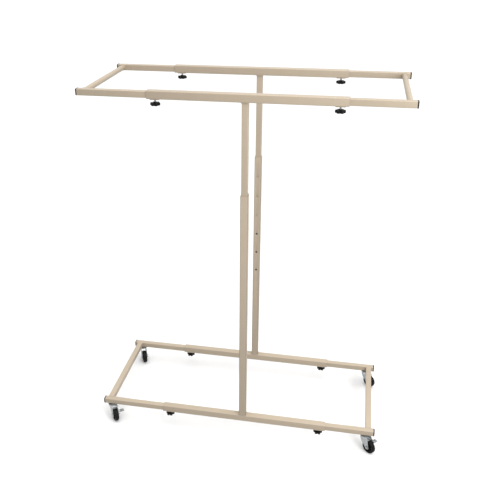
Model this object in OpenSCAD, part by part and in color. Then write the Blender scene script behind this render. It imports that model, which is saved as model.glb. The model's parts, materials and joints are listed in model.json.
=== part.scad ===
// Double-bar garment rack on casters.
// Two square posts stand on a telescoping base and carry two telescoping hang bars.
// Origin: on the floor, midway between the posts. +X along the bars, +Y to the rear, +Z up.

/* [Layout] */
// Distance between the front and rear bars, centre to centre
bar_spacing = 496; // [400:1:620]
// Sideways offset of the front post and its sleeves; the rear ones sit the same amount the other way
post_stagger = 8.5; // [0:0.5:12]
// Length of the lower posts, above the base sleeves
lower_post_length = 1089; // [1000:1:1300]
// Length of the upper posts, below the top sleeves
upper_post_length = 711; // [640:1:760]
// How far the upper posts reach down into the lower posts
post_overlap = 339; // [320:1:380]
// Length of the four sleeves
sleeve_length = 762; // [700:1:800]
// Length of the eight telescoping arms
arm_length = 406; // [370:1:420]
// Post centre to the left top cross bar
top_left_reach = 631; // [600:1:660]
// Post centre to the right top cross bar
top_right_reach = 603; // [590:1:660]
// Post centre to the left base cross bar
base_left_reach = 641; // [600:1:660]
// Post centre to the right base cross bar
base_right_reach = 583; // [580:1:660]
// Cross bar centre to the outer face of the end caps
arm_overhang = 28; // [24:1:40]

/* [Tubes] */
// Outside width of the sleeves and lower posts
sleeve_size = 31.75; // [31.75:0.25:36]
// Wall of the sleeves and lower posts
sleeve_wall = 2.1; // [1.5:0.1:2.1]
// Outside corner radius of the sleeves and lower posts
sleeve_corner = 3.2; // [2.5:0.1:4]
// Outside width of the arms, upper posts and base cross bars
arm_size = 25.4; // [22:0.1:25.4]
// Wall of the arms, upper posts and cross bars
arm_wall = 1.65; // [1.2:0.05:2]
// Outside corner radius of the arms and upper posts
arm_corner = 2.6; // [2.2:0.1:3.5]
// Diameter of the round top cross bars
top_cross_d = 22.2; // [16:0.1:25]

/* [Height adjustment] */
// Number of holes in each lower post
hole_count = 6; // [4:1:8]
// Distance between the holes
hole_pitch = 97.6; // [80:0.1:100]
// Top of the lower post to the first hole
first_hole_drop = 93; // [80:1:120]
// Diameter of the holes
hole_d = 9.5; // [8.5:0.1:12]
// Hole that the snap buttons rest in, counted from the top
rest_hole = 3; // [2:1:3]
// Diameter of the snap buttons
button_d = 7.9; // [6:0.1:8]
// How far a snap button stands out of the lower post
button_proud = 3; // [2:0.1:4]
// Height of the stop button above the rim of the front lower post
stop_button_rise = 8; // [7:0.5:14]
// How far the stop button stands out of the upper post
stop_button_proud = 2.4; // [1.5:0.1:4]

/* [Clamp knobs] */
// Sleeve end to knob centre
knob_inset = 31; // [28:1:45]
// Diameter of the knob over its lobes
knob_d = 40; // [30:1:44]
// Thickness of the knob head
knob_thickness = 11; // [8:0.5:14]
// Number of lobes on the knob
knob_lobes = 6; // [5:1:8]
// Clamp plate to knob head on the top bars
top_knob_gap = 12; // [9:0.5:15]
// Clamp plate to knob head on the base
base_knob_gap = 7; // [5:0.5:12]
// Thread diameter of the knob stud
stud_d = 7.8; // [6:0.1:10]
// Thickness of the threaded clamp plate under a sleeve
plate_thickness = 3; // [2:0.5:4]
// Length of the clamp plate along the sleeve
plate_length = 34; // [26:1:40]

/* [End caps] */
// Thickness of the end cap flange
cap_flange = 5; // [3:0.5:6]
// Depth of the end cap plug
cap_plug = 14; // [10:1:20]

/* [Casters] */
// Wheel diameter
wheel_d = 64; // [54:0.5:80]
// Underside of the arm to the top of the wheel
wheel_drop = 22; // [20:0.5:36]
// Wheel width
wheel_width = 20; // [17:0.5:24]
// Swivel axis to wheel axle
caster_trail = 27; // [24:0.5:30]
// Cross bar centre to swivel axis, towards the posts
caster_inset = 11.5; // [6:0.5:20]
// Direction in which the front left caster trails, from +X
front_left_heading = -53; // [-180:1:180]
// Direction in which the front right caster trails, from +X
front_right_heading = -42; // [-180:1:180]
// Direction in which the rear left caster trails, from +X
rear_left_heading = -61; // [-180:1:180]
// Direction in which the rear right caster trails, from +X
rear_right_heading = -41; // [-180:1:180]
// Diameter of the axle bolt
axle_d = 8; // [6:0.1:9.6]
// Diameter of the caster stem
stem_d = 10; // [8:0.1:11]
// Diameter of the fork crown
crown_d = 44; // [40:0.5:48]
// Thickness of the fork sheet
fork_sheet = 2.5; // [2:0.1:3]
// Gap between a fork leg and the wheel
fork_side_gap = 2; // [1.5:0.1:3]
// Diameter of the round window in each fork leg
window_d = 8; // [5:0.5:9]
// Length of the brake's foot tab, out from the lever
tab_length = 25; // [18:0.5:30]
// Width of the brake's foot tab
tab_width = 18; // [12:0.5:22]

/* [Clearances] */
// Radial clearance of turning shafts
running = 0.05; // [0.02:0.01:0.1]
// Gap between sliding and turning faces
face_gap = 0.4; // [0.3:0.05:0.8]
// Gap between a clamp stud and the arm it presses
stud_gap = 0.05; // [0.02:0.01:0.1]
// Gap between a cap plug and its tube
plug_gap = 0.2; // [0.1:0.05:0.4]

/* [Hidden] */
$fn = 64;

// Sides: front is -1, rear is 1, left is -1, right is 1
front = -1;
rear = 1;
left = -1;
right = 1;
top = 1;
base = 0;

// Heights
caster_height = wheel_d + wheel_drop;
base_z = caster_height + arm_size / 2;
lower_foot_z = base_z + sleeve_size / 2;
lower_top_z = lower_foot_z + lower_post_length;
upper_foot_z = lower_top_z - post_overlap;
upper_top_z = upper_foot_z + upper_post_length;
top_z = upper_top_z + sleeve_size / 2;
rest_hole_z = lower_top_z - first_hole_drop - (rest_hole - 1) * hole_pitch;

// Derived sizes
arm_inside = arm_size - 2 * arm_wall;
sleeve_inside = sleeve_size - 2 * sleeve_wall;
cross_length = bar_spacing - arm_size;
button_hole_d = button_d + 2 * face_gap;
plate_width = sleeve_size - 2 * sleeve_corner;
stud_hole_d = stud_d + 2 * running;
cap_corner = arm_corner + 0.2;
cap_size = arm_size + 0.4;

// Button sizes
button_flange = 1.2;
button_dome = 1.6;
button_seat = arm_inside / 2 - face_gap;

// Caster sizes, depths counted down from the arm's underside
axle_drop = caster_height - wheel_d / 2;
flange_thickness = 3;
crown_top = flange_thickness + face_gap;
crown_depth = 6.5;
pin_d = 9;
pin_head_d = 15;
pin_head_thickness = 2.5;
fork_inside = wheel_width + 2 * fork_side_gap;
fork_width = fork_inside + 2 * fork_sheet;
boss_r = 9.6;
leg_back = 15;
leg_front = 21;
window_drop = 17;
bolt_head = 4;
nut_af = 13;
nut_thickness = 6.5;
nut_side_gap = 2.55;
caster_nut_side = arm_inside - 2 * nut_side_gap;
caster_nut_thickness = 9;
stem_length = 16;
wheel_hub_r = 10;
tread_depth = 9;

// Brake sizes, from the swivel axis and the arm's underside
rivet_d = 6;
rivet_x = caster_trail - 7;
rivet_drop = wheel_drop - 3.5;
lever_sheet = 2.5;
tab_x = caster_trail + 5;
tab_drop = axle_drop - 18;
shoe_thickness = 4;
shoe_length = 9;

function post_x(side) = -side * post_stagger;
function bar_y(side) = side * bar_spacing / 2;
function rail_z(level) = level == top ? top_z : base_z;
function reach(level, end) =
    level == top ? (end == left ? top_left_reach : top_right_reach)
                 : (end == left ? base_left_reach : base_right_reach);
function cross_x(level, end) = end * reach(level, end);
function arm_outer_x(level, end) = end * (reach(level, end) + arm_overhang - cap_flange);
function knob_x(side, end) = post_x(side) + end * (sleeve_length / 2 - knob_inset);
function caster_x(end) = cross_x(base, end) - end * caster_inset;
function heading(side, end) =
    side == front ? (end == left ? front_left_heading : front_right_heading)
                  : (end == left ? rear_left_heading : rear_right_heading);

// Solid square bar along +Z with round corners
module square_bar(size, corner, length) {
    linear_extrude(length) union() {
        square([size - 2 * corner, size], center = true);
        square([size, size - 2 * corner], center = true);
        for (x = [-1, 1], y = [-1, 1])
            translate([x * (size / 2 - corner), y * (size / 2 - corner)]) circle(corner);
    }
}

// Square tube along +Z with round corners inside and out
module square_tube(size, wall, corner, length) {
    difference() {
        square_bar(size, corner, length);
        translate([0, 0, -1]) square_bar(size - 2 * wall, max(corner - wall, 0.5), length + 2);
    }
}

// Lays a shape that runs along +Z so that it runs along +X
module along_x() {
    rotate([0, 90, 0]) children();
}

// Lays a shape that runs along +Z so that it runs along +Y
module along_y() {
    rotate([-90, 0, 0]) children();
}

// Sleeve with a screw hole under each end
module sleeve(level, side) {
    difference() {
        translate([post_x(side) - sleeve_length / 2, bar_y(side), rail_z(level)])
            along_x() square_tube(sleeve_size, sleeve_wall, sleeve_corner, sleeve_length);
        for (end = [left, right])
            translate([knob_x(side, end), bar_y(side), rail_z(level) - sleeve_size])
                cylinder(d = stud_hole_d + 1, h = sleeve_size);
    }
}

// Lower post with a row of height holes in the face towards the other post
module lower_post(side) {
    difference() {
        translate([post_x(side), bar_y(side), lower_foot_z])
            square_tube(sleeve_size, sleeve_wall, sleeve_corner, lower_post_length);
        for (i = [0 : hole_count - 1])
            translate([post_x(side), bar_y(side), lower_top_z - first_hole_drop - i * hole_pitch])
                rotate([side * 90, 0, 0]) cylinder(d = hole_d, h = sleeve_size);
    }
}

// Upper post with the snap button's hole; the front one has a stop button's hole as well
module upper_post(side) {
    difference() {
        translate([post_x(side), bar_y(side), upper_foot_z])
            square_tube(arm_size, arm_wall, arm_corner, upper_post_length);
        translate([post_x(side), bar_y(side), rest_hole_z])
            rotate([side * 90, 0, 0]) cylinder(d = button_hole_d, h = arm_size);
        if (side == front)
            translate([post_x(side), bar_y(side), lower_top_z + stop_button_rise])
                along_x() cylinder(d = button_hole_d, h = arm_size);
    }
}

// Threaded plates welded under the sleeves of one level
module clamp_plates(level) {
    for (side = [front, rear], end = [left, right])
        translate([knob_x(side, end), bar_y(side), rail_z(level)])
            translate([0, 0, -sleeve_size / 2 - plate_thickness]) difference() {
                translate([-plate_length / 2, -plate_width / 2, 0])
                    cube([plate_length, plate_width, plate_thickness]);
                translate([0, 0, -1]) cylinder(d = stud_hole_d, h = plate_thickness + 2);
            }
}

// Telescoping arm; the base arms have a stem hole in the underside
module arm(level, end, side) {
    outer = arm_outer_x(level, end);
    difference() {
        translate([end == left ? outer : outer - arm_length, bar_y(side), rail_z(level)])
            along_x() square_tube(arm_size, arm_wall, arm_corner, arm_length);
        if (level == base)
            translate([caster_x(end), bar_y(side), base_z - arm_size])
                cylinder(d = stem_d + 2 * face_gap, h = arm_size);
    }
}

// Square tube between the two base arms at one end
module base_cross_bar(end) {
    translate([cross_x(base, end), -cross_length / 2, base_z])
        along_y() square_tube(arm_size, arm_wall, arm_corner, cross_length);
}

// Round tube between the two hang bars at one end
module top_cross_bar(end) {
    translate([cross_x(top, end), -cross_length / 2, top_z]) along_y() difference() {
        cylinder(d = top_cross_d, h = cross_length);
        translate([0, 0, -1]) cylinder(d = top_cross_d - 2 * arm_wall, h = cross_length + 2);
    }
}

// Two plugs that close the outer ends of a pair of arms
module end_caps(level, end) {
    plug = arm_inside - 2 * plug_gap;
    for (side = [front, rear])
        translate([arm_outer_x(level, end), bar_y(side), rail_z(level)])
            rotate([0, end * 90, 0]) {
                square_bar(cap_size, cap_corner, cap_flange);
                translate([0, 0, -cap_plug]) square_tube(plug, 2, 1.2, cap_plug);
            }
}

// Nuts welded inside the base arms for the caster stems
module caster_nuts(end) {
    for (side = [front, rear])
        translate([caster_x(end), bar_y(side), base_z - arm_size / 2 + arm_wall])
            difference() {
                translate([-caster_nut_side / 2, -caster_nut_side / 2, 0])
                    cube([caster_nut_side, caster_nut_side, caster_nut_thickness]);
                translate([0, 0, -1])
                    cylinder(d = stem_d + 2 * running, h = caster_nut_thickness + 2);
            }
}

// Lobed clamp knob with its steel stud, drawn with the stud's tip at the arm's underside
module knob(level, side, end) {
    gap = level == top ? top_knob_gap : base_knob_gap;
    head_top = -sleeve_size / 2 - plate_thickness - gap;
    tip = -arm_size / 2 - stud_gap;
    lobe_r = knob_d / 7;
    translate([knob_x(side, end), bar_y(side), rail_z(level)]) {
        difference() {
            translate([0, 0, head_top - knob_thickness]) linear_extrude(knob_thickness) union() {
                circle(d = knob_d - 2 * lobe_r);
                for (i = [0 : knob_lobes - 1])
                    rotate(i * 360 / knob_lobes)
                        translate([knob_d / 2 - lobe_r, 0]) circle(lobe_r);
            }
            translate([0, 0, head_top - knob_thickness - 1]) cylinder(d = knob_d * 0.3, h = 3);
        }
        translate([0, 0, head_top - 1]) cylinder(d = stud_d * 1.6, h = 4);
        translate([0, 0, head_top - 1]) cylinder(d = stud_d, h = tip - head_top + 1);
    }
}

// Button with a flat nose and a flange inside the tube, drawn along +Z from the post's axis
module button(nose) {
    barrel = nose - button_dome;
    translate([0, 0, button_seat - button_flange]) union() {
        cylinder(d = button_d + 4, h = button_flange);
        cylinder(d = button_d, h = barrel - button_seat + button_flange);
    }
    translate([0, 0, barrel])
        cylinder(d1 = button_d, d2 = button_d - 2 * button_dome, h = button_dome);
}

// Snap button in the height hole of one post
module snap_button(side) {
    translate([post_x(side), bar_y(side), rest_hole_z])
        rotate([side * 90, 0, 0]) button(sleeve_size / 2 + button_proud);
}

// Stop button above the rim of the front lower post
module stop_button() {
    translate([post_x(front), bar_y(front), lower_top_z + stop_button_rise])
        along_x() button(arm_size / 2 + stop_button_proud);
}

// V-shaped leaf spring that pushes a snap button out
module button_spring(side) {
    leaf = 0.8;
    leaf_width = 12;
    wall = arm_inside / 2 - 0.1;
    back = button_seat - button_flange - 0.05;
    points = [
        [-back, 9], [-back, -7], [-1.2, -46], [1.2, -46], [wall, -7], [wall, 9],
        [wall - leaf, 9], [wall - leaf, -7], [0, -44.5], [-back + leaf, -7], [-back + leaf, 9]
    ];
    translate([post_x(side), bar_y(side), rest_hole_z])
        face_to(side) translate([-leaf_width / 2, 0, 0])
            rotate([90, 0, 90]) linear_extrude(leaf_width) polygon(points);
}

// Turns a piece drawn for the rear post so that it also suits the front one
module face_to(side) {
    rotate([0, 0, side == front ? 180 : 0]) children();
}

// Places a caster piece: origin on the swivel axis at the arm's underside, +X along the trail
module caster_at(side, end) {
    translate([caster_x(end), bar_y(side), caster_height])
        rotate([0, 0, heading(side, end)]) children();
}

// Lays a shape drawn in X and Z, and extruded along +Y, at one distance from the caster's middle
module side_plate(y, thickness) {
    translate([0, y + thickness, 0]) rotate([90, 0, 0]) linear_extrude(thickness) children();
}

// Threaded stem, its flange under the arm and the king pin that holds the fork
module stem(side, end) {
    pin_end = crown_top + fork_sheet + face_gap;
    caster_at(side, end) {
        translate([0, 0, -flange_thickness]) cylinder(d = crown_d - 8, h = flange_thickness);
        translate([0, 0, -flange_thickness]) cylinder(d = stem_d, h = flange_thickness + stem_length);
        translate([0, 0, -pin_end]) cylinder(d = pin_d, h = pin_end);
        translate([0, 0, -pin_end - pin_head_thickness])
            cylinder(d = pin_head_d, h = pin_head_thickness);
    }
}

// Side outline of a fork leg, from the crown to the axle
module leg_outline() {
    translate([caster_trail, -axle_drop]) circle(boss_r);
    polygon([
        [-leg_back, -crown_top], [-leg_back + 1, -crown_top - 18],
        [-leg_back / 2, -axle_drop * 0.65], [caster_trail - boss_r * 0.8, -axle_drop - boss_r * 0.55],
        [caster_trail + boss_r * 0.95, -axle_drop + boss_r * 0.2],
        [leg_front + 8, -axle_drop * 0.45], [leg_front, -crown_top]
    ]);
}

// Pressed fork: cupped crown and two legs; the right leg of a braked caster has a rivet hole
module fork(side, end) {
    caster_at(side, end) difference() {
        union() {
            difference() {
                translate([0, 0, -crown_top - crown_depth]) cylinder(d = crown_d, h = crown_depth);
                translate([0, 0, -crown_top - crown_depth - 1])
                    cylinder(d = crown_d - 2 * fork_sheet, h = crown_depth + 1 - fork_sheet);
            }
            for (y = [-fork_width / 2, fork_inside / 2])
                side_plate(y, fork_sheet) leg_outline();
        }
        translate([0, 0, -crown_top - crown_depth]) cylinder(d = pin_d + 2 * running, h = crown_depth + 1);
        translate([0, -fork_width, 0]) {
            translate([caster_trail, 0, -axle_drop]) along_y()
                cylinder(d = axle_d + 2 * running, h = 2 * fork_width);
            translate([0, 0, -window_drop]) along_y() cylinder(d = window_d, h = 2 * fork_width);
        }
        if (side == front)
            translate([rivet_x, 0, -rivet_drop]) along_y()
                cylinder(d = rivet_d + 2 * running, h = fork_width);
    }
}

// Axle bolt with its head on one side and its nut on the other
module axle(side, end) {
    caster_at(side, end) translate([caster_trail, -fork_width / 2, -axle_drop]) along_y() {
        translate([0, 0, -bolt_head]) cylinder(d = nut_af, h = bolt_head, $fn = 6);
        translate([0, 0, -bolt_head]) cylinder(d = axle_d, h = bolt_head + fork_width + nut_thickness);
        translate([0, 0, fork_width]) cylinder(d = nut_af, h = nut_thickness, $fn = 6);
    }
}

// Wheel with a crowned tread, dished sides and a hub that fills the fork
module wheel(side, end) {
    r = wheel_d / 2;
    half = wheel_width / 2;
    hub = fork_inside / 2 - face_gap;
    bore = axle_d / 2 + running;
    rim = r - tread_depth;
    caster_at(side, end) translate([caster_trail, 0, -axle_drop]) along_y()
        rotate_extrude($fn = 96) polygon([
            [bore, -hub], [wheel_hub_r, -hub], [wheel_hub_r, -half + 4], [rim, -half + 4],
            [rim, -half + 0.5], [r - 4, -half], [r - 1, -half + 2.5], [r, -half + 6],
            [r, half - 6], [r - 1, half - 2.5], [r - 4, half], [rim, half - 0.5],
            [rim, half - 4], [wheel_hub_r, half - 4], [wheel_hub_r, hub], [bore, hub]
        ]);
}

// Foot brake: shoe above the tread, rivet through the right leg, lever and tab outside it
module brake(side, end) {
    shoe_half = fork_inside / 2 - face_gap;
    lever_y = fork_width / 2 + face_gap;
    lever_r = rivet_d / 2 + 2.5;
    caster_at(side, end) {
        translate([rivet_x, -shoe_half, -rivet_drop]) along_y()
            cylinder(d = shoe_thickness, h = 2 * shoe_half);
        translate([rivet_x, -shoe_half, -rivet_drop - 0.5])
            cube([shoe_length, 2 * shoe_half, shoe_thickness / 2]);
        translate([rivet_x, 0, -rivet_drop]) along_y() cylinder(d = rivet_d, h = lever_y + lever_sheet + 1);
        side_plate(lever_y, lever_sheet) union() {
            translate([rivet_x, -rivet_drop]) circle(lever_r);
            polygon([
                [rivet_x - lever_r * 0.8, -rivet_drop - 3], [rivet_x + lever_r * 0.8, -rivet_drop + 3],
                [tab_x + tab_width / 2, -tab_drop + 4], [tab_x + tab_width / 2, -tab_drop - lever_sheet],
                [tab_x - tab_width / 2, -tab_drop - lever_sheet]
            ]);
        }
        translate([tab_x - tab_width / 2, lever_y + 1, -tab_drop - lever_sheet])
            cube([tab_width, tab_length, lever_sheet]);
    }
}

color("#c9b9a3") sleeve(base, front);  // base_front_sleeve
color("#c9b9a3") sleeve(base, rear);  // base_rear_sleeve
color("#c9b9a3") sleeve(top, front);  // top_front_sleeve
color("#c9b9a3") sleeve(top, rear);  // top_rear_sleeve
color("#c9b9a3") lower_post(front);  // front_lower_post
color("#c9b9a3") lower_post(rear);  // rear_lower_post
color("#c9b9a3") upper_post(front);  // front_upper_post
color("#c9b9a3") upper_post(rear);  // rear_upper_post
color("#c9b9a3") clamp_plates(base);  // base_clamp_plates
color("#c9b9a3") clamp_plates(top);  // top_clamp_plates
color("#c9b9a3") arm(base, left, front);  // base_left_front_arm
color("#c9b9a3") arm(base, left, rear);  // base_left_rear_arm
color("#c9b9a3") base_cross_bar(left);  // base_left_cross_bar
color("#17171a") end_caps(base, left);  // base_left_end_caps
color("#c9b9a3") arm(base, right, front);  // base_right_front_arm
color("#c9b9a3") arm(base, right, rear);  // base_right_rear_arm
color("#c9b9a3") base_cross_bar(right);  // base_right_cross_bar
color("#17171a") end_caps(base, right);  // base_right_end_caps
color("#c9b9a3") arm(top, left, front);  // top_left_front_arm
color("#c9b9a3") arm(top, left, rear);  // top_left_rear_arm
color("#c9b9a3") top_cross_bar(left);  // top_left_cross_bar
color("#17171a") end_caps(top, left);  // top_left_end_caps
color("#c9b9a3") arm(top, right, front);  // top_right_front_arm
color("#c9b9a3") arm(top, right, rear);  // top_right_rear_arm
color("#c9b9a3") top_cross_bar(right);  // top_right_cross_bar
color("#17171a") end_caps(top, right);  // top_right_end_caps
color("#a9adb0") caster_nuts(left);  // base_left_caster_nuts
color("#a9adb0") caster_nuts(right);  // base_right_caster_nuts
color("#17171a") knob(base, front, left);  // base_front_left_knob
color("#17171a") knob(base, front, right);  // base_front_right_knob
color("#17171a") knob(base, rear, left);  // base_rear_left_knob
color("#17171a") knob(base, rear, right);  // base_rear_right_knob
color("#17171a") knob(top, front, left);  // top_front_left_knob
color("#17171a") knob(top, front, right);  // top_front_right_knob
color("#17171a") knob(top, rear, left);  // top_rear_left_knob
color("#17171a") knob(top, rear, right);  // top_rear_right_knob
color("#c9b9a3") snap_button(front);  // front_snap_button
color("#c9b9a3") snap_button(rear);  // rear_snap_button
color("#a9adb0") stop_button();  // front_stop_button
color("#a9adb0") button_spring(front);  // front_button_spring
color("#a9adb0") button_spring(rear);  // rear_button_spring
color("#a9adb0") stem(front, left);  // front_left_stem
color("#a9adb0") fork(front, left);  // front_left_fork
color("#a9adb0") axle(front, left);  // front_left_axle
color("#1b1b1d") wheel(front, left);  // front_left_wheel
color("#a9adb0") stem(front, right);  // front_right_stem
color("#a9adb0") fork(front, right);  // front_right_fork
color("#a9adb0") axle(front, right);  // front_right_axle
color("#1b1b1d") wheel(front, right);  // front_right_wheel
color("#a9adb0") stem(rear, left);  // rear_left_stem
color("#a9adb0") fork(rear, left);  // rear_left_fork
color("#a9adb0") axle(rear, left);  // rear_left_axle
color("#1b1b1d") wheel(rear, left);  // rear_left_wheel
color("#a9adb0") stem(rear, right);  // rear_right_stem
color("#a9adb0") fork(rear, right);  // rear_right_fork
color("#a9adb0") axle(rear, right);  // rear_right_axle
color("#1b1b1d") wheel(rear, right);  // rear_right_wheel
color("#a9adb0") brake(front, left);  // front_left_brake
color("#a9adb0") brake(front, right);  // front_right_brake
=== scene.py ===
"""Builds the looks of a double-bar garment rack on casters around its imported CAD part."""

import json  # noqa: E402
import logging  # noqa: E402
import math  # noqa: E402
from collections.abc import Sequence  # noqa: E402
from dataclasses import dataclass, field  # noqa: E402
from enum import Enum, StrEnum  # noqa: E402
from functools import cached_property  # noqa: E402
from itertools import product  # noqa: E402

import bmesh  # noqa: E402
import bpy  # noqa: E402
from mathutils import Matrix, Vector  # noqa: E402

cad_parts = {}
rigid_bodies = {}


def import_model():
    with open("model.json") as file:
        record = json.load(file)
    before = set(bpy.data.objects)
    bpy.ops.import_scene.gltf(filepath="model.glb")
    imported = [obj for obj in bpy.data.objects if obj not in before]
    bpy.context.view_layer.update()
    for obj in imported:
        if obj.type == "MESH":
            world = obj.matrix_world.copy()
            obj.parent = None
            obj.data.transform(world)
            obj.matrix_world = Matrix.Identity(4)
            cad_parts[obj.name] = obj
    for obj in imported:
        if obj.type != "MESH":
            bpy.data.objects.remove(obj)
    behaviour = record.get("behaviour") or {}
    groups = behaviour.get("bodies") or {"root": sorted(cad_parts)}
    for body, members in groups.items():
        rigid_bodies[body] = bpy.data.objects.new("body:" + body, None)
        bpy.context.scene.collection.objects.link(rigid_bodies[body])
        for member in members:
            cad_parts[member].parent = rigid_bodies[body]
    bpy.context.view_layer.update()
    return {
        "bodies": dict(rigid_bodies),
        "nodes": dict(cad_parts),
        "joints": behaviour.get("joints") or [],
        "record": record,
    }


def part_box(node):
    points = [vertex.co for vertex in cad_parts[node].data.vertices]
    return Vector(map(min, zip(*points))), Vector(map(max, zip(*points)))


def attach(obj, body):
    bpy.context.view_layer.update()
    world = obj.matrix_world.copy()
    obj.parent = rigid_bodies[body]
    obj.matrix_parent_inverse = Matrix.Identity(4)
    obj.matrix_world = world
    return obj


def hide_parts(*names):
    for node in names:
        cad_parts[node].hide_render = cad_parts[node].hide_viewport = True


LOG = logging.getLogger("rack")
MM = 0.001
TAU = 2 * math.pi
UP = Vector((0, 0, 1))

Point2 = tuple[float, float]
Tree = bpy.types.NodeTree
Node = bpy.types.Node
Socket = bpy.types.NodeSocket
Material = bpy.types.Material
Mesh = bpy.types.Mesh
Shape = bmesh.types.BMesh
Piece = bpy.types.Object


class Level(StrEnum):
    """The two levels of the rack."""

    BASE = "base"
    TOP = "top"


class Side(StrEnum):
    """The two long bars of a level."""

    FRONT = "front"
    REAR = "rear"


class End(StrEnum):
    """The two ends that slide out."""

    LEFT = "left"
    RIGHT = "right"


class Slot(StrEnum):
    """The record's material slots."""

    COAT = "beige_powder_coat"
    KNOB = "knob_plastic"
    CAP = "cap_plastic"
    WHEEL = "wheel_rubber"
    ZINC = "zinc_steel"


# ---------------------------------------------------------------- materials


def linear(hex_colour: str) -> tuple[float, float, float, float]:
    """Turns an sRGB hex colour to linear RGBA.

    Args:
        hex_colour: six digits after a hash, such as "#c9b9a3".

    Returns:
        Red, green, blue and an alpha of 1.
    """
    parts = [int(hex_colour[i : i + 2], 16) / 255 for i in (1, 3, 5)]
    bent = [p / 12.92 if p <= 0.04045 else ((p + 0.055) / 1.055) ** 2.4 for p in parts]
    return bent[0], bent[1], bent[2], 1.0


def add_node(
    tree: Tree, kind: str, settings: dict | None = None, inputs: dict | None = None
) -> Node:
    """Adds one node with its settings and links.

    Args:
        tree: the tree it goes in.
        kind: the node's type name.
        settings: its properties by name.
        inputs: its sockets by name or number, each with a value or with the output that feeds it.

    Returns:
        The node.
    """
    node = tree.nodes.new(kind)
    for name, value in (settings or {}).items():
        setattr(node, name, value)
    for key, value in (inputs or {}).items():
        if isinstance(value, Socket):
            tree.links.new(value, node.inputs[key])
        else:
            node.inputs[key].default_value = value
    return node


def put(name: str, data: bpy.types.ID) -> Piece:
    """Puts data in the scene as an object of that name."""
    made = bpy.data.objects.new(name, data)
    bpy.context.scene.collection.objects.link(made)
    return made


@dataclass
class Surface:
    """A material in the making, with the steps that the finishes share."""

    name: str
    material: Material = field(init=False)
    tree: Tree = field(init=False)
    shader: Node = field(init=False)

    def __post_init__(self) -> None:
        """Starts the material."""
        self.material = bpy.data.materials.new(self.name)
        self.material.use_nodes = True
        self.tree = self.material.node_tree
        self.shader = self.tree.nodes["Principled BSDF"]

    @cached_property
    def place(self) -> Socket:
        """The object's own coordinates."""
        return add_node(self.tree, "ShaderNodeTexCoord").outputs["Object"]

    def noise(
        self, size_mm: float, detail: float, stretch: Sequence[float] | None = None
    ) -> Socket:
        """Adds noise of one grain size.

        Args:
            size_mm: the grain's size.
            detail: how many finer layers it has.
            stretch: its scale along X, Y and Z, if it isn't even.

        Returns:
            The noise.
        """
        place = self.place
        if stretch is not None:
            inputs = {"Vector": place, "Scale": Vector(stretch)}
            place = add_node(self.tree, "ShaderNodeMapping", inputs=inputs).outputs["Vector"]
        inputs = {"Vector": place, "Scale": 1000 / size_mm, "Detail": detail}
        return add_node(self.tree, "ShaderNodeTexNoise", inputs=inputs).outputs["Fac"]

    def remap(self, value: Socket, to: Point2, taken: Point2 = (0.0, 1.0)) -> Socket:
        """Stretches a value from one range to another.

        Args:
            value: what is stretched.
            to: the range that it ends up in.
            taken: the range that it comes from.

        Returns:
            The stretched value.
        """
        inputs = {"Value": value, "From Min": taken[0], "From Max": taken[1]}
        inputs |= {"To Min": to[0], "To Max": to[1]}
        return add_node(self.tree, "ShaderNodeMapRange", inputs=inputs).outputs["Result"]

    def blend(
        self, factor: Socket, first: Socket | Sequence[float], second: Sequence[float]
    ) -> Socket:
        """Mixes two colours.

        Args:
            factor: 0 for the first colour and 1 for the second.
            first: the first colour.
            second: the second colour.

        Returns:
            The mixed colour.
        """
        inputs = {"Factor": factor, 6: first, 7: second}
        return add_node(self.tree, "ShaderNodeMix", {"data_type": "RGBA"}, inputs).outputs[2]

    def close(
        self, colour: Socket, rough: Socket, height: Socket, relief: Point2, others: dict
    ) -> Material:
        """Feeds the shader.

        Args:
            colour: the base colour.
            rough: the roughness.
            height: the height of the fine relief.
            relief: the relief's strength, and its depth in millimetres.
            others: further values of the shader by name.

        Returns:
            The material.
        """
        strength, depth_mm = relief
        inputs = {"Height": height, "Strength": strength, "Distance": depth_mm * MM}
        bump = add_node(self.tree, "ShaderNodeBump", inputs=inputs)
        feeds = {"Base Color": colour, "Roughness": rough, "Normal": bump.outputs["Normal"]}
        for name, socket in feeds.items():
            self.tree.links.new(socket, self.shader.inputs[name])
        for name, value in others.items():
            self.shader.inputs[name].default_value = value
        return self.material


class Rub(Enum):
    """The way in which a coated tube slides, which its rub marks follow."""

    NONE = (1.0, 1.0, 1.0)
    ALONG_X = (0.02, 1.0, 1.0)
    ALONG_Z = (1.0, 1.0, 0.02)


@dataclass(frozen=True)
class PowderCoat:
    """Polyester powder coat, sprayed and baked on steel tube.

    It gives an even, lightly pebbled satin skin with a faint cloudiness. Where a tube slides in
    another, fine lines run along it. The mesh attribute "inside" is 1 on faces that the spray
    doesn't reach, which are oiled mill steel; their near-black colour is partly painted shade of
    the tube's bore.
    """

    name: str = "almond_powder_coat"
    shade: str = "#b6a792"
    light: str = "#bdae99"
    rub: Rub = Rub.NONE
    cloud_mm: float = 45.0
    # Real orange peel is about 1.5 mm across; it is drawn at 3 mm so that it shows.
    peel_mm: float = 3.0
    peel_relief: Point2 = (0.12, 0.15)
    rub_mm: float = 1.6
    roughness: Point2 = (0.37, 0.49)
    gloss_range: Point2 = (0.3, 0.7)
    # Near-black colour of faces marked inside: oiled steel made darker with painted shade of the
    # bore.
    bare: str = "#332e29"
    refraction: float = 1.5

    def make(self) -> Material:
        """Builds the material."""
        surface = Surface(self.name)
        cloud = surface.noise(self.cloud_mm, 3.0)
        tint = surface.blend(cloud, linear(self.shade), linear(self.light))
        peel = surface.noise(self.peel_mm, 2.0)
        gloss = cloud
        if self.rub is not Rub.NONE:
            gloss = surface.noise(self.rub_mm, 4.0, self.rub.value)
        rough = surface.remap(gloss, self.roughness, self.gloss_range)
        # Faces marked inside take the near-black bore colour, which is partly painted shade.
        inside = add_node(surface.tree, "ShaderNodeAttribute", {"attribute_name": "inside"})
        skin = surface.blend(inside.outputs["Fac"], tint, linear(self.bare))
        return surface.close(skin, rough, peel, self.peel_relief, {"IOR": self.refraction})


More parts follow.
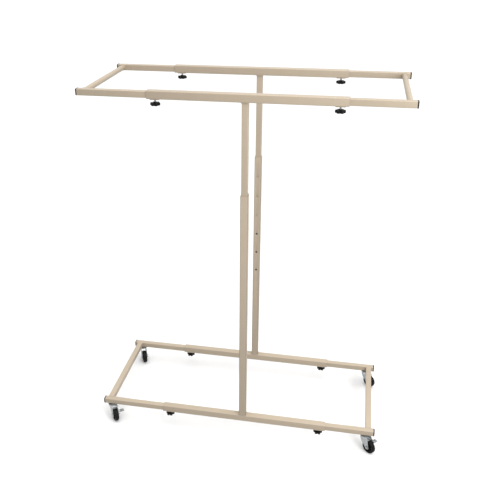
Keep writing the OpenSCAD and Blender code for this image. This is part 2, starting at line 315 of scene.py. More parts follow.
@dataclass(frozen=True)
class Moulded:
    """Injection-moulded plastic or rubber with a fine spark-eroded grain."""

    name: str
    colour: str
    worn: str
    roughness: float
    roughness_spread: float = 0.08
    grain_mm: float = 1.2
    grain_relief: Point2 = (0.35, 0.06)
    bloom_mm: float = 14.0
    bloom_range: Point2 = (0.45, 0.75)
    sheen: float = 0.15

    def make(self) -> Material:
        """Builds the material."""
        surface = Surface(self.name)
        bloom = surface.noise(self.bloom_mm, 4.0)
        patches = surface.remap(bloom, (0.0, 1.0), self.bloom_range)
        tint = surface.blend(patches, linear(self.colour), linear(self.worn))
        spread = self.roughness_spread
        rough = surface.remap(bloom, (self.roughness - spread, self.roughness + spread))
        grain = surface.noise(self.grain_mm, 2.0)
        sheen = {"Specular IOR Level": self.sheen}
        return surface.close(tint, rough, grain, self.grain_relief, sheen)


@dataclass(frozen=True)
class ZincPlate:
    """Bright zinc plating on pressed steel: a cool grey metal with drawn lines and dull patches."""

    name: str = "bright_zinc_plate"
    bright: str = "#b4b7b8"
    dull: str = "#868a8b"
    roughness: Point2 = (0.22, 0.44)
    patch_mm: float = 11.0
    # Press marks are about 0.1 mm apart; they are drawn at 0.7 mm so that they show.
    draw_mm: float = 0.7
    draw_stretch: tuple[float, float, float] = (1.0, 1.0, 0.06)
    draw_relief: Point2 = (0.1, 0.05)

    def make(self) -> Material:
        """Builds the material."""
        surface = Surface(self.name)
        patches = surface.noise(self.patch_mm, 3.0)
        drawn = surface.noise(self.draw_mm, 2.0, self.draw_stretch)
        tint = surface.blend(patches, linear(self.dull), linear(self.bright))
        rough = surface.remap(drawn, self.roughness)
        return surface.close(tint, rough, drawn, self.draw_relief, {"Metallic": 1.0})


def made_of(finish: PowderCoat | Moulded | ZincPlate) -> Material:
    """A dataclass field that makes a finish's material."""
    return field(default_factory=finish.make)


@dataclass
class Finishes:
    """Every finish on the rack, made once."""

    coat: Material = made_of(PowderCoat())
    arm_coat: Material = made_of(PowderCoat("almond_powder_coat_arms", rub=Rub.ALONG_X))
    post_coat: Material = made_of(PowderCoat("almond_powder_coat_posts", rub=Rub.ALONG_Z))
    # Glass-filled nylon knobs: black, with a dry satin skin.
    knob: Material = made_of(Moulded("black_nylon_knob", "#060606", "#0d0d0e", 0.5))
    # Polyethylene tube plugs: softer and duller than the knobs.
    cap: Material = made_of(Moulded("black_polythene_cap", "#060606", "#0d0d0d", 0.55))
    # Hard rubber tread: dull black with a dusty bloom.
    tyre: Material = made_of(
        Moulded("hard_rubber_tread", "#060606", "#101010", 0.55, bloom_mm=9.0)
    )
    # Polypropylene wheel centre: glossier than the tread, so that it reads a shade lighter.
    hub: Material = made_of(Moulded("polypropylene_wheel", "#0c0c0d", "#151516", 0.36))
    zinc: Material = made_of(ZincPlate())
    # Oiled steel of the stop button, the buttons' springs and the caster stems; on the stems its
    # darker grey is painted shade under the base arm.
    dark_steel: Material = made_of(
        ZincPlate("oiled_spring_steel", "#8b8c8e", "#5f6062", (0.26, 0.48))
    )


# ---------------------------------------------------------------- geometry node trees


def new_tree(name: str, sockets: dict[str, str]) -> tuple[Tree, bpy.types.NodeOutputs]:
    """Starts a geometry tree.

    Args:
        name: the tree's name.
        sockets: the types of its inputs by name, between the geometry and the material.

    Returns:
        The tree and the inputs that it is given.
    """
    tree = bpy.data.node_groups.new(name, "GeometryNodeTree")
    for label, kind in {"Geometry": "Geometry", **sockets, "Material": "Material"}.items():
        tree.interface.new_socket(label, in_out="INPUT", socket_type=f"NodeSocket{kind}")
    tree.interface.new_socket("Geometry", in_out="OUTPUT", socket_type="NodeSocketGeometry")
    return tree, add_node(tree, "NodeGroupInput").outputs


def close_tree(tree: Tree, shape: Socket, material: Socket) -> Tree:
    """Ends a tree in Realize Instances and Set Material.

    Args:
        tree: the tree.
        shape: the geometry that it makes.
        material: the material input.

    Returns:
        The tree.
    """
    real = add_node(tree, "GeometryNodeRealizeInstances", inputs={"Geometry": shape})
    inputs = {"Geometry": real.outputs["Geometry"], "Material": material}
    dressed = add_node(tree, "GeometryNodeSetMaterial", inputs=inputs)
    add_node(tree, "NodeGroupOutput", inputs={0: dressed.outputs["Geometry"]})
    return tree


def repeat(tree: Tree, points: Socket, instance: Socket, inputs: dict) -> Socket:
    """Puts one shape on every point.

    Args:
        tree: the tree.
        points: where the copies go.
        instance: what is copied.
        inputs: the copies' rotation or scale.

    Returns:
        The copies.
    """
    inputs = {"Points": points, "Instance": instance, **inputs}
    return add_node(tree, "GeometryNodeInstanceOnPoints", inputs=inputs).outputs["Instances"]


def weld_bead_tree() -> Tree:
    """A run of overlapping weld ripples along each edge chain that it is given."""
    sockets = {"Ripple Radius": "Float", "Ripple Pitch": "Float", "Seed": "Int"}
    tree, given = new_tree("weld_bead", sockets)
    path = add_node(tree, "GeometryNodeMeshToCurve", inputs={"Mesh": given["Geometry"]})
    inputs = {"Curve": path.outputs["Curve"], "Length": given["Ripple Pitch"]}
    steps = add_node(tree, "GeometryNodeResampleCurve", {"mode": "LENGTH"}, inputs)
    inputs = {"Radius": given["Ripple Radius"], "Subdivisions": 2}
    ripple = add_node(tree, "GeometryNodeMeshIcoSphere", inputs=inputs)
    inputs = {"Min": 0.82, "Max": 1.0, "Seed": given["Seed"]}
    uneven = add_node(tree, "FunctionNodeRandomValue", {"data_type": "FLOAT"}, inputs)
    scale = {"Scale": uneven.outputs["Value"]}
    beads = repeat(tree, steps.outputs["Curve"], ripple.outputs["Mesh"], scale)
    return close_tree(tree, beads, given["Material"])


def thread_tree() -> Tree:
    """A screw thread: a ridge that winds up along +Z."""
    sockets = {"Turns": "Float", "Pitch Radius": "Float", "Length": "Float", "Ridge": "Float"}
    tree, given = new_tree("screw_thread", sockets)
    inputs = {
        "Resolution": 16,
        "Rotations": given["Turns"],
        "Start Radius": given["Pitch Radius"],
        "End Radius": given["Pitch Radius"],
        "Height": given["Length"],
    }
    helix = add_node(tree, "GeometryNodeCurveSpiral", inputs=inputs)
    inputs = {"Resolution": 4, "Radius": given["Ridge"]}
    ridge = add_node(tree, "GeometryNodeCurvePrimitiveCircle", inputs=inputs)
    inputs = {
        "Curve": helix.outputs["Curve"],
        "Profile Curve": ridge.outputs["Curve"],
        "Fill Caps": True,
    }
    wound = add_node(tree, "GeometryNodeCurveToMesh", inputs=inputs)
    return close_tree(tree, wound.outputs["Mesh"], given["Material"])


def spoke_tree() -> Tree:
    """Ribs set round a hub in the XY plane."""
    sockets = {"Count": "Int", "Middle Radius": "Float", "Rib Size": "Vector"}
    tree, given = new_tree("wheel_ribs", sockets)
    inputs = {"Vertices": given["Count"], "Radius": given["Middle Radius"]}
    ring = add_node(tree, "GeometryNodeMeshCircle", inputs=inputs)
    rib = add_node(tree, "GeometryNodeMeshCube", inputs={"Size": given["Rib Size"]})
    place = add_node(tree, "GeometryNodeInputPosition")
    inputs = {"Vector": place.outputs["Position"]}
    outward = add_node(tree, "FunctionNodeAlignEulerToVector", {"axis": "X"}, inputs)
    turn = {"Rotation": outward.outputs["Rotation"]}
    ribs = repeat(tree, ring.outputs["Mesh"], rib.outputs["Mesh"], turn)
    return close_tree(tree, ribs, given["Material"])


def grip_tree() -> Tree:
    """Half-sunk bars in a row along +X, each of them across Y."""
    sockets = {"Count": "Int", "Step": "Vector", "Bar Radius": "Float", "Bar Length": "Float"}
    tree, given = new_tree("foot_grips", sockets)
    inputs = {"Count": given["Count"], "Offset": given["Step"]}
    row = add_node(tree, "GeometryNodeMeshLine", inputs=inputs)
    inputs = {"Vertices": 12, "Radius": given["Bar Radius"], "Depth": given["Bar Length"]}
    bar = add_node(tree, "GeometryNodeMeshCylinder", inputs=inputs)
    turn = {"Rotation": Vector((math.pi / 2, 0.0, 0.0))}
    bars = repeat(tree, row.outputs["Mesh"], bar.outputs["Mesh"], turn)
    return close_tree(tree, bars, given["Material"])


def grow(tree: Tree, values: dict, path: Mesh | None = None) -> Mesh:
    """Runs a geometry tree and keeps its result as a plain mesh.

    Args:
        tree: the tree.
        values: its inputs by their labels.
        path: the mesh that it starts from, if any, which is used up.

    Returns:
        The mesh.
    """
    start = path or bpy.data.meshes.new("start")
    host = put("host", start)
    modifier = host.modifiers.new("grow", "NODES")
    modifier.node_group = tree
    for item in tree.interface.items_tree:
        if item.in_out == "INPUT" and item.name in values:
            modifier[item.identifier] = values[item.name]
    host.update_tag()
    bpy.context.view_layer.update()
    shaped = host.evaluated_get(bpy.context.evaluated_depsgraph_get())
    mesh = bpy.data.meshes.new_from_object(shaped)
    bpy.data.objects.remove(host)
    bpy.data.meshes.remove(start)
    return mesh


# ---------------------------------------------------------------- meshes


def show(
    name: str,
    mesh: Mesh,
    body: str,
    material: Material | None = None,
    stands_for: Sequence[str] = (),
) -> Piece:
    """Puts a finished mesh in the scene on its body.

    Args:
        name: the piece's name.
        mesh: its mesh, already in place.
        body: the CAD body that it rides on.
        material: its material, if the mesh has none yet.
        stands_for: the CAD nodes that it replaces.

    Returns:
        The piece.
    """
    mesh.name = name
    piece = put(name, mesh)
    if material is not None:
        mesh.materials.clear()
        mesh.materials.append(material)
    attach(piece, body)
    if stands_for:
        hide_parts(*stands_for)
    return piece


def recoat(node: str, material: Material) -> None:
    """Gives a CAD mesh that stays as it is its finish.

    Args:
        node: the CAD node.
        material: the finish.
    """
    kept = bpy.data.objects[node]
    kept.data.materials.clear()
    kept.data.materials.append(material)


def soft_mesh(shape: Shape, sharp_deg: float = 38.0) -> Mesh:
    """Closes a shape into a mesh that is smooth except at its sharp edges.

    Args:
        shape: the shape, which is freed.
        sharp_deg: edges that turn more than this stay crisp.

    Returns:
        The mesh.
    """
    bmesh.ops.remove_doubles(shape, verts=shape.verts, dist=1e-6)
    bmesh.ops.recalc_face_normals(shape, faces=shape.faces)
    mesh = bpy.data.meshes.new("mesh")
    shape.to_mesh(mesh)
    shape.free()
    mesh.shade_smooth()
    mesh.set_sharp_from_angle(angle=math.radians(sharp_deg))
    return mesh


def loft(
    shape: Shape, rings: Sequence[Sequence[Vector]], poles: Sequence[Vector | None]
) -> None:
    """Skins a stack of rings with as many points each.

    Args:
        shape: the shape that it is added to.
        rings: the rings, from the first end to the last.
        poles: the point that closes each of the two ends, or None for an open one.
    """
    rows = [[shape.verts.new(p) for p in ring] for ring in rings]
    count = len(rows[0])
    for low, high in zip(rows, rows[1:]):
        for i in range(count):
            j = (i + 1) % count
            shape.faces.new((low[i], low[j], high[j], high[i]))
    for pole, row in zip(poles, (rows[0], rows[-1])):
        if pole is not None:
            tip = shape.verts.new(pole)
            for i in range(count):
                shape.faces.new((tip, row[i], row[(i + 1) % count]))


def rounded(corners: Sequence[Point2], radius: float, steps: int = 3) -> list[Point2]:
    """Rounds the corners of an open outline, and keeps its two ends.

    Args:
        corners: the outline's points.
        radius: the largest distance from a corner at which its curve starts.
        steps: how many pieces each curve has.

    Returns:
        The rounded outline.
    """
    out = [corners[0]]
    for a, b, c in zip(corners, corners[1:], corners[2:]):
        before, corner, after = Vector(a), Vector(b), Vector(c)
        reach = min(radius, (before - corner).length * 0.45, (after - corner).length * 0.45)
        start = corner + (before - corner).normalized() * reach
        end = corner + (after - corner).normalized() * reach
        for i in range(steps + 1):
            t = i / steps
            p = start * (1 - t) ** 2 + corner * (2 * t * (1 - t)) + end * t**2
            out.append((p.x, p.y))
    out.append(corners[-1])
    return out


def lathe(shape: Shape, outline: Sequence[Point2], place: Matrix, segments: int) -> None:
    """Turns an outline round +Z of its place.

    Args:
        shape: the shape that it is added to.
        outline: distance from the axis and height, from one end to the other; a first or last
            point on the axis closes that end, and otherwise the last point joins the first.
        place: where the axis is.
        segments: how many pieces the circle has.
    """
    on_axis = 1e-9
    closed = outline[0][0] > on_axis and outline[-1][0] > on_axis
    body = [p for p in outline if p[0] > on_axis]
    if closed:
        body = [*body, body[0]]
    turns = [(math.cos(TAU * i / segments), math.sin(TAU * i / segments)) for i in range(segments)]
    rings = [[place @ Vector((r * c, r * s, z)) for c, s in turns] for r, z in body]
    poles = [
        None if closed or r > on_axis else place @ Vector((0, 0, z))
        for r, z in (outline[0], outline[-1])
    ]
    loft(shape, rings, poles)


def refined(node: str, edge_mm: float) -> Mesh:
    """A copy of a CAD node with merged facets and softly broken edges.

    Args:
        node: the CAD node to copy.
        edge_mm: how wide the broken edges are.

    Returns:
        The mesh.
    """
    flat_deg, crisp_deg, sharp_deg = 0.6, 40, 30.0
    shape = bmesh.new()
    shape.from_mesh(bpy.data.objects[node].data)
    bmesh.ops.remove_doubles(shape, verts=shape.verts, dist=2e-6)
    bmesh.ops.dissolve_limit(
        shape, angle_limit=math.radians(flat_deg), verts=shape.verts, edges=shape.edges
    )
    shared = [e for e in shape.edges if len(e.link_faces) == 2]
    bmesh.ops.bevel(
        shape,
        geom=[e for e in shared if e.calc_face_angle(0.0) > math.radians(crisp_deg)],
        offset=edge_mm * MM,
        segments=2,
        profile=0.5,
        affect="EDGES",
        clamp_overlap=True,
    )
    bmesh.ops.triangulate(shape, faces=[f for f in shape.faces if len(f.verts) > 4])
    return soft_mesh(shape, sharp_deg)


def dress(
    prefix: str, node: str, edge_mm: float, body: str, material: Material
) -> Piece:
    """Covers a CAD node with a refined copy of itself.

    Args:
        prefix: what comes before the node's name in the piece's.
        node: the CAD node.
        edge_mm: how wide the broken edges are.
        body: the body that it rides on.
        material: its finish.

    Returns:
        The piece.
    """
    return show(f"{prefix}_{node}", refined(node, edge_mm), body, material, [node])


def middle(node: str) -> Vector:
    """The middle of a CAD node's box."""
    low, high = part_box(node)
    return (low + high) / 2


# ---------------------------------------------------------------- sub-assemblies


@dataclass
class TubeFrame:
    """The welded and telescoping square tubes, with their clamp plates and weld beads."""

    finishes: Finishes
    beads: Tree = field(default_factory=weld_bead_tree)
    edge_mm: float = 0.35
    plate_edge_mm: float = 0.5
    skin_mm: float = 0.5
    ripple_mm: float = 2.1
    ripple_pitch_mm: float = 2.4
    inset_mm: float = 0.9
    margin_mm: float = 3.0
    ring_steps: int = 24
    plate_half_length_mm: float = 17.0
    plate_half_weld_mm: float = 9.0

    def build(self) -> list[Piece]:
        """Dresses every tube, welds the frames and returns the pieces."""
        runs = enumerate(self.weld_runs().items())
        made = [*self.tubes(), *self.plates()]
        return made + [self.weld(body, chains, seed) for seed, (body, chains) in runs]

    def tubes(self) -> list[Piece]:
        """Covers each tube with its coat and returns the pieces."""
        coat, arms, posts = self.finishes.coat, self.finishes.arm_coat, self.finishes.post_coat
        plan = [(f"base_{side}_sleeve", "stand", coat) for side in Side]
        plan += [(f"{side}_lower_post", "stand", coat) for side in Side]
        plan += [(f"top_{side}_sleeve", "top_carriage", coat) for side in Side]
        plan += [(f"{side}_upper_post", "top_carriage", posts) for side in Side]
        for level, end in product(Level, End):
            frame = f"{level}_{end}"
            plan += [(f"{frame}_{side}_arm", f"{frame}_frame", arms) for side in Side]
            plan.append((f"{frame}_cross_bar", f"{frame}_frame", coat))
        made = []
        for node, body, material in plan:
            piece = dress("coated", node, self.edge_mm, body, material)
            if node.endswith("lower_post"):
                self.mark_inside(piece.data, node)
            made.append(piece)
        return made

    def mark_inside(self, mesh: Mesh, node: str) -> None:
        """Marks the bore of an upright square tube and the edges of its holes for the coat's
        near-black bore colour, which is partly painted shade.

        Args:
            mesh: the tube's mesh.
            node: the CAD node, whose box gives the tube's axis and width.
        """
        low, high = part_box(node)
        centre = (low + high) / 2
        skin = (high.x - low.x) / 2 - self.skin_mm * MM
        flags = mesh.attributes.new("inside", "FLOAT", "FACE")
        for face in mesh.polygons:
            off = face.center - centre
            buried = max(abs(off.x), abs(off.y)) < skin and abs(face.normal.z) < 0.5
            flags.data[face.index].value = float(buried)

    def plates(self) -> list[Piece]:
        """Makes the threaded clamp plates of both levels and returns the pieces."""
        return [
            dress("welded", node, self.plate_edge_mm, body, self.finishes.coat)
            for node, body in (("base_clamp_plates", "stand"), ("top_clamp_plates", "top_carriage"))
        ]

    def weld_runs(self) -> dict[str, list[list[Vector]]]:
        """Finds each body's runs of weld, as chains of points."""
        runs: dict[str, list[list[Vector]]] = {"stand": [], "top_carriage": []}
        out, margin = self.inset_mm * MM, self.margin_mm * MM
        for side in Side:
            low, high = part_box(f"{side}_lower_post")
            for x in (low.x - out, high.x + out):
                ends = (low.y + margin, high.y - margin)
                runs["stand"].append([Vector((x, y, low.z + out)) for y in ends])
            low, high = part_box(f"{side}_upper_post")
            xs, ys = (low.x - out, high.x + out), (low.y - out, high.y + out)
            turns = ((0, 0), (1, 0), (1, 1), (0, 1), (0, 0))
            runs["top_carriage"].append([Vector((xs[i], ys[j], high.z - out)) for i, j in turns])
        for level in Level:
            for end in End:
                runs[f"{level}_{end}_frame"] = self.cross_bar_runs(level, end)
            carrier = "stand" if level is Level.BASE else "top_carriage"
            runs[carrier].extend(self.plate_runs(level))
        return runs

    def cross_bar_runs(self, level: Level, end: End) -> list[list[Vector]]:
        """Finds the welds at the two ends of a cross bar.

        Args:
            level: the cross bar's level.
            end: the cross bar's end of the rack.

        Returns:
            The runs of weld.
        """
        low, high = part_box(f"{level}_{end}_cross_bar")
        centre = (low + high) / 2
        out, margin = self.inset_mm * MM, self.margin_mm * MM
        radius = (high.x - low.x) / 2 + out
        angles = [TAU * i / self.ring_steps for i in range(self.ring_steps + 1)]
        runs = []
        for y in (low.y + out, high.y - out):
            if level is Level.TOP:
                spots = [
                    (centre.x + radius * math.cos(a), y, centre.z + radius * math.sin(a))
                    for a in angles
                ]
                runs.append([Vector(spot) for spot in spots])
            else:
                heights = (low.z + margin, high.z - margin)
                for x in (low.x - out, high.x + out):
                    runs.append([Vector((x, y, z)) for z in heights])
        return runs

    def plate_runs(self, level: Level) -> list[list[Vector]]:
        """Finds the welds at the two ends of each clamp plate.

        Args:
            level: the plates' level.

        Returns:
            The runs of weld.
        """
        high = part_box(f"{level}_clamp_plates")[1]
        half_length = self.plate_half_length_mm * MM
        half_weld = self.plate_half_weld_mm * MM
        z = high.z - self.inset_mm * MM
        runs = []
        for side, end, way in product(Side, End, (-1, 1)):
            knob = middle(f"{level}_{side}_{end}_knob")
            x = knob.x + way * (half_length + self.inset_mm * MM)
            runs.append([Vector((x, y, z)) for y in (knob.y - half_weld, knob.y + half_weld)])
        return runs

    def weld(self, body: str, runs: Sequence[Sequence[Vector]], seed: int) -> Piece:
        """Lays the beads of one body, coated over like the tubes.

        Args:
            body: the body that they ride on.
            runs: the chains of points that they follow.
            seed: the seed of their unevenness.

        Returns:
            The piece.
        """
        points, edges = [], []
        for run in runs:
            edges += [(i, i + 1) for i in range(len(points), len(points) + len(run) - 1)]
            points += run
        path = bpy.data.meshes.new("weld_path")
        path.from_pydata(points, edges, [])
        values = {
            "Ripple Radius": self.ripple_mm * MM,
            "Ripple Pitch": self.ripple_pitch_mm * MM,
            "Seed": seed,
            "Material": self.finishes.coat,
        }
        mesh = grow(self.beads, values, path)
        mesh.shade_smooth()
        return show(f"weld_beads_{body}", mesh, body)


@dataclass
class ClampKnobs:
    """The lobed clamp knobs on threaded studs."""

    finishes: Finishes
    thread: Tree = field(default_factory=thread_tree)
    lobes: int = 6
    thickness_mm: float = 11.0
    radius_mm: float = 20.0
    lobe_ratio: float = 3.5
    valley_share: float = 0.985
    valley_sharpness: float = 24.0
    hollow_mm: float = 1.2
    collar_mm: float = 3.0
    stud_mm: float = 3.85
    stud_foot_mm: float = 13.0
    tip_mm: float = 0.8
    tip_share: float = 0.7
    pitch_mm: float = 1.25
    groove_mm: float = 0.55
    ridge_mm: float = 0.52
    thread_start_mm: float = 0.6
    thread_short_mm: float = 1.6
    segments: int = 96

    def build(self) -> list[Piece]:
        """Makes the eight knobs and returns their pieces."""
        nodes = (f"{level}_{side}_{end}_knob" for level, side, end in product(Level, Side, End))
        return [piece for node in nodes for piece in self.knob(node)]

    def lobed(self, angle: float) -> float:
        """The head's radius in millimetres at an angle, with softened valleys."""
        lobe = self.radius_mm / self.lobe_ratio
        reach = self.radius_mm - lobe
        step = TAU / self.lobes
        off = (angle + step / 2) % step - step / 2
        across = lobe**2 - (reach * math.sin(off)) ** 2
        outer = reach * math.cos(off) + math.sqrt(across) if across > 0 else 0.0
        sharpness = self.valley_sharpness
        valley = reach * self.valley_share
        return (outer**sharpness + valley**sharpness) ** (1 / sharpness)

    def ring(self, height: float, radius: float, share: float, place: Matrix) -> list[Vector]:
        """One ring of the head.

        Args:
            height: its height in millimetres.
            radius: its radius in millimetres where it is round.
            share: its size against the lobed outline, or 0 where it is round.
            place: where the head is.

        Returns:
            The ring's points.
        """
        points = []
        for i in range(self.segments):
            angle = TAU * i / self.segments
            r = self.lobed(angle) * share if share else radius
            points.append(
                place @ Vector((r * math.cos(angle) * MM, r * math.sin(angle) * MM, height * MM))
            )
        return points

    def head(self, place: Matrix) -> Mesh:
        """Makes the moulded head, from the hollow in its underside to its collar.

        Args:
            place: where the head is.

        Returns:
            The mesh.
        """
        t = self.thickness_mm
        # Height, radius of a round ring, and share of the lobed outline.
        stack = [
            (self.hollow_mm, 4.6, 0), (self.hollow_mm, 5.0, 0), (2.9, 5.6, 0), (3.3, 10.2, 0),
            (2.6, 11.6, 0), (0.6, 0, 0.78), (0.0, 0, 0.86), (0.0, 0, 0.91), (0.35, 0, 0.955),
            (1.1, 0, 0.985), (2.2, 0, 1.0), (t - 3.0, 0, 1.0), (t - 1.6, 0, 0.985),
            (t - 0.6, 0, 0.945), (t - 0.1, 0, 0.88), (t, 0, 0.8), (t, 9.5, 0),
            (t + 0.5, 7.0, 0), (t + 1.4, 6.3, 0), (t + 2.6, 6.1, 0), (t + self.collar_mm, 5.7, 0),
        ]  # fmt: skip
        shape = bmesh.new()
        rings = [self.ring(z, r, share, place) for z, r, share in stack]
        poles = [place @ Vector((0, 0, z * MM)) for z in (self.hollow_mm, t + self.collar_mm)]
        loft(shape, rings, poles)
        return soft_mesh(shape, 50.0)

    def knob(self, node: str) -> list[Piece]:
        """Makes one knob: the moulded head, its stud and the stud's thread.

        Args:
            node: the CAD node, whose body has the same name.

        Returns:
            The pieces.
        """
        (low, high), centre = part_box(node), middle(node)
        place = Matrix.Translation((centre.x, centre.y, low.z))
        name = f"moulded_{node}"
        head = show(name, self.head(place), node, self.finishes.knob, [node])
        foot = self.stud_foot_mm * MM
        length = high.z - low.z - foot
        core = (self.stud_mm - self.groove_mm) * MM
        shoulder, tip = foot + length - self.tip_mm * MM, foot + length
        outline = [(0, foot), (core, foot), (core, shoulder), (core * self.tip_share, tip)]
        shape = bmesh.new()
        lathe(shape, [*outline, (0, tip)], place, 32)
        stud = show(f"stud_{node}", soft_mesh(shape), node, self.finishes.zinc)
        turn_length = length - self.thread_short_mm * MM
        values = {
            "Turns": turn_length / (self.pitch_mm * MM),
            "Pitch Radius": core,
            "Length": turn_length,
            "Ridge": self.ridge_mm * MM,
            "Material": self.finishes.zinc,
        }
        mesh = grow(self.thread, values)
        mesh.transform(place @ Matrix.Translation((0, 0, foot + self.thread_start_mm * MM)))
        return [head, stud, show(f"thread_{node}", mesh, node)]


@dataclass
class EndCaps:
    """The moulded plugs in the arms' outer ends."""

    finishes: Finishes
    flange_mm: float = 5.0
    size_mm: float = 25.8
    corner_mm: float = 2.8
    corner_steps: int = 5
    plug_mm: float = 21.6
    plug_corner_mm: float = 1.5
    plug_depth_mm: float = 14.0
    plug_start_mm: float = -0.01
    barbs: int = 3
    barb_pitch_mm: float = 4.0

    def build(self) -> list[Piece]:
        """Makes the caps of the four frames and returns the pieces."""
        return [self.pair(level, end) for level, end in product(Level, End)]

    def square_ring(self, depth: float, size: float, corner: float, place: Matrix) -> list[Vector]:
        """A square ring with round corners.

        Args:
            depth: its distance along +X of the place, in millimetres.
            size: its width in millimetres.
            corner: its corner radius in millimetres.
            place: where the cap is.

        Returns:
            The ring's points.
        """
        points = []
        flat = size / 2 - corner
        for quarter, (sign_y, sign_z) in enumerate(((1, 1), (-1, 1), (-1, -1), (1, -1))):
            for i in range(self.corner_steps + 1):
                angle = math.radians(90 * quarter + 90 // self.corner_steps * i)
                y = sign_y * flat + corner * math.cos(angle)
                z = sign_z * flat + corner * math.sin(angle)
                points.append(place @ Vector((depth * MM, y * MM, z * MM)))
        return points

    def pair(self, level: Level, end: End) -> Piece:
        """Makes the two caps of one frame.

        Args:
            level: the frame's level.
            end: the frame's end of the rack.

        Returns:
            The piece.
        """
        frame = f"{level}_{end}"
        node = f"{frame}_end_caps"
        low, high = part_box(node)
        flange, size, plug = self.flange_mm, self.size_mm, self.plug_mm
        inner = low.x + flange * MM if end is End.LEFT else high.x - flange * MM
        turn = Matrix.Rotation(math.pi if end is End.LEFT else 0.0, 4, "Z")
        # Depth and width of each ring, out from the tube's mouth.
        outside = [
            (0.0, 20.0), (0.0, size - 0.5), (0.3, size), (flange - 1.4, size),
            (flange - 0.7, size - 0.5), (flange - 0.2, size - 1.6), (flange, size - 3.2),
        ]  # fmt: skip
        # The same into the tube, with barbs that grip its wall.
        inside = [(self.plug_start_mm, plug - 0.8)]
        for i in range(self.barbs):
            start = -1.5 - i * self.barb_pitch_mm
            inside += [(start, plug), (start - 3.2, plug - 1.0)]
        inside.append((-self.plug_depth_mm, plug - 1.8))
        shape = bmesh.new()
        for side in Side:
            arm = middle(f"{frame}_{side}_arm")
            place = Matrix.Translation((inner, arm.y, arm.z)) @ turn
            corners = [self.corner_mm * width / size for _, width in outside]
            for rings, radii in ((outside, corners), (inside, [self.plug_corner_mm] * len(inside))):
                poles = [place @ Vector((x * MM, 0, 0)) for x in (rings[0][0], rings[-1][0])]
                skins = [self.square_ring(x, w, r, place) for (x, w), r in zip(rings, radii)]
                loft(shape, skins, poles)
        name, body = f"moulded_{node}", f"{frame}_frame"
        return show(name, soft_mesh(shape), body, self.finishes.cap, [node])


@dataclass
class HeightLock:
    """The snap buttons, the stop button and their springs."""

    finishes: Finishes
    radius_mm: float = 3.95
    lip_mm: float = 1.9
    flange_mm: float = 1.2
    dome_mm: float = 2.6
    dome_step_deg: int = 10

    def build(self) -> list[Piece]:
        """Makes the three buttons, dresses the springs and returns the buttons."""
        coat, steel = self.finishes.coat, self.finishes.dark_steel
        made = [
            self.button("front_snap_button", Vector((0, 1, 0)), coat),
            self.button("rear_snap_button", Vector((0, -1, 0)), coat),
            self.button("front_stop_button", Vector((1, 0, 0)), steel),
        ]
        for side in Side:
            recoat(f"{side}_button_spring", steel)
        return made

    def button(self, node: str, outward: Vector, material: Material) -> Piece:
        """Makes one round-nosed button.

        Args:
            node: the CAD node, whose body has the same name.
            outward: the way in which it points.
            material: its finish.

        Returns:
            The piece.
        """
        low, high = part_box(node)
        length = abs((high - low).dot(outward))
        start = middle(node) - outward * length / 2
        place = Matrix.Translation(start) @ UP.rotation_difference(outward).to_matrix().to_4x4()
        r, flange, dome = self.radius_mm * MM, self.flange_mm * MM, self.dome_mm * MM
        lip = r + self.lip_mm * MM
        angles = [math.radians(a) for a in range(0, 90, self.dome_step_deg)]
        nose = [(r * math.cos(a), length - dome + dome * math.sin(a)) for a in angles]
        shape = bmesh.new()
        outline = [(0, 0), (lip, 0), (lip, flange), (r, flange), *nose, (0, length)]
        lathe(shape, outline, place, 40)
        return show(f"turned_{node}", soft_mesh(shape), node, material, [node])


